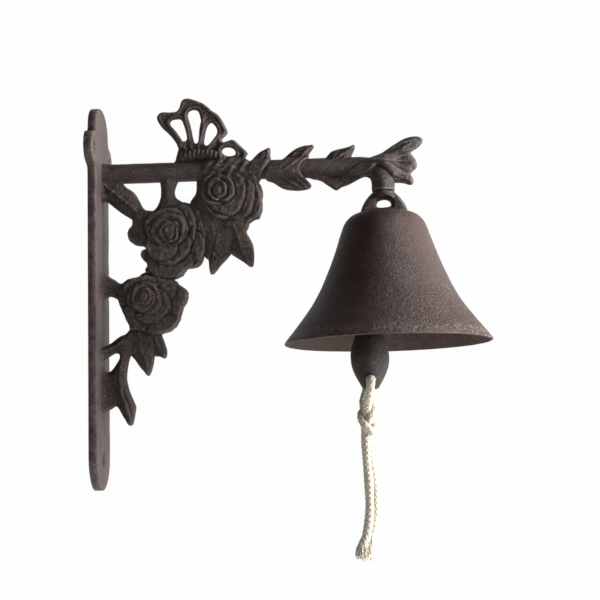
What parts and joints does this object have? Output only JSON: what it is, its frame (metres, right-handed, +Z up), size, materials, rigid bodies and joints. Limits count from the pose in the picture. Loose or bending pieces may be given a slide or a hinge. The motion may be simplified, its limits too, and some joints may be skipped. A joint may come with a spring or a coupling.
{
  "type": "wall mounted bell",
  "caption": "Cast iron bell hung from a flowered wall bracket with a butterfly on its arm, rung by swinging an inner clapper with a knotted cotton pull rope.",
  "frame": {"origin": "centre line of the wall plate's flat back face, 100 mm above its lower end, where it bears on the wall", "axes": "+X straight out of the wall along the arm, +Y along the wall, +Z up"},
  "size_m": [0.207, 0.108, 0.2409],
  "materials": {
    "bracket_iron": "sand-cast iron, dark rust-brown patina, satin sheen",
    "plate_iron": "sand-cast iron, worn brown patina, lighter on the flat face",
    "pin_steel": "rivet hammered flush, same brown patina",
    "bell_iron": "cast iron, fine speckled brown patina, satin, worn bright at the lip",
    "wire_steel": "rusted steel wire, matt brown",
    "clapper_iron": "cast iron, pitted dark brown-grey",
    "cotton_rope": "braided undyed cotton, cream, frayed ends"
  },
  "bodies": {
    "bracket": {"wall_plate": "plate_iron", "bracket_arm": "bracket_iron", "arm_hook": "bracket_iron", "hanger_pin": "pin_steel", "butterfly": "bracket_iron", "rose_upper": "bracket_iron", "rose_middle": "bracket_iron", "rose_lower": "bracket_iron", "leaf_under_arm": "bracket_iron", "stem_to_middle_rose": "bracket_iron", "leaf_between_roses": "bracket_iron", "leaf_tip_left": "bracket_iron", "leaf_tip_right": "bracket_iron", "stem_to_plate_upper": "bracket_iron", "leaf_low_right": "bracket_iron", "leaf_low_middle": "bracket_iron", "stem_to_plate_lower": "bracket_iron", "leaf_tail": "bracket_iron", "arm_leaf_by_butterfly": "bracket_iron", "arm_leaf_inner_top": "bracket_iron", "arm_leaf_inner_low": "bracket_iron", "arm_leaf_outer_top": "bracket_iron", "arm_leaf_outer_low": "bracket_iron", "end_leaf_top": "bracket_iron", "end_leaf_middle": "bracket_iron", "end_leaf_low": "bracket_iron"},
    "bell": {"bell_shell": "bell_iron", "crown_loop": "bell_iron", "clapper_staple": "wire_steel"},
    "ring": {"clapper_ring": "wire_steel"},
    "clapper": {"clapper_stem": "wire_steel", "clapper_ball": "clapper_iron"},
    "rope": {"rope_loop_front": "cotton_rope", "rope_loop_back": "cotton_rope", "rope_knot": "cotton_rope", "rope_tail_front": "cotton_rope", "rope_tail_back": "cotton_rope"}
  },
  "joints": [
    {"name": "bell_swing", "type": "hinge", "parent": "bracket", "child": "bell", "pos_m": [0.153, 0, 0.0568], "axis": [0, 1, 0], "range_deg": [-5, 5]},
    {"name": "ring_swing", "type": "hinge", "parent": "bell", "child": "ring", "pos_m": [0.1432, 0, 0.0302], "axis": [1, 0, 0], "range_deg": [-17, 17]},
    {"name": "clapper_swing", "type": "hinge", "parent": "ring", "child": "clapper", "pos_m": [0.1432, 0, 0.0217], "axis": [0, 1, 0], "range_deg": [-39, 24]},
    {"name": "rope_swing", "type": "hinge", "parent": "clapper", "child": "rope", "pos_m": [0.1432, 0, -0.0464], "axis": [0, 1, 0], "range_deg": [-40, 40]}
  ]
}
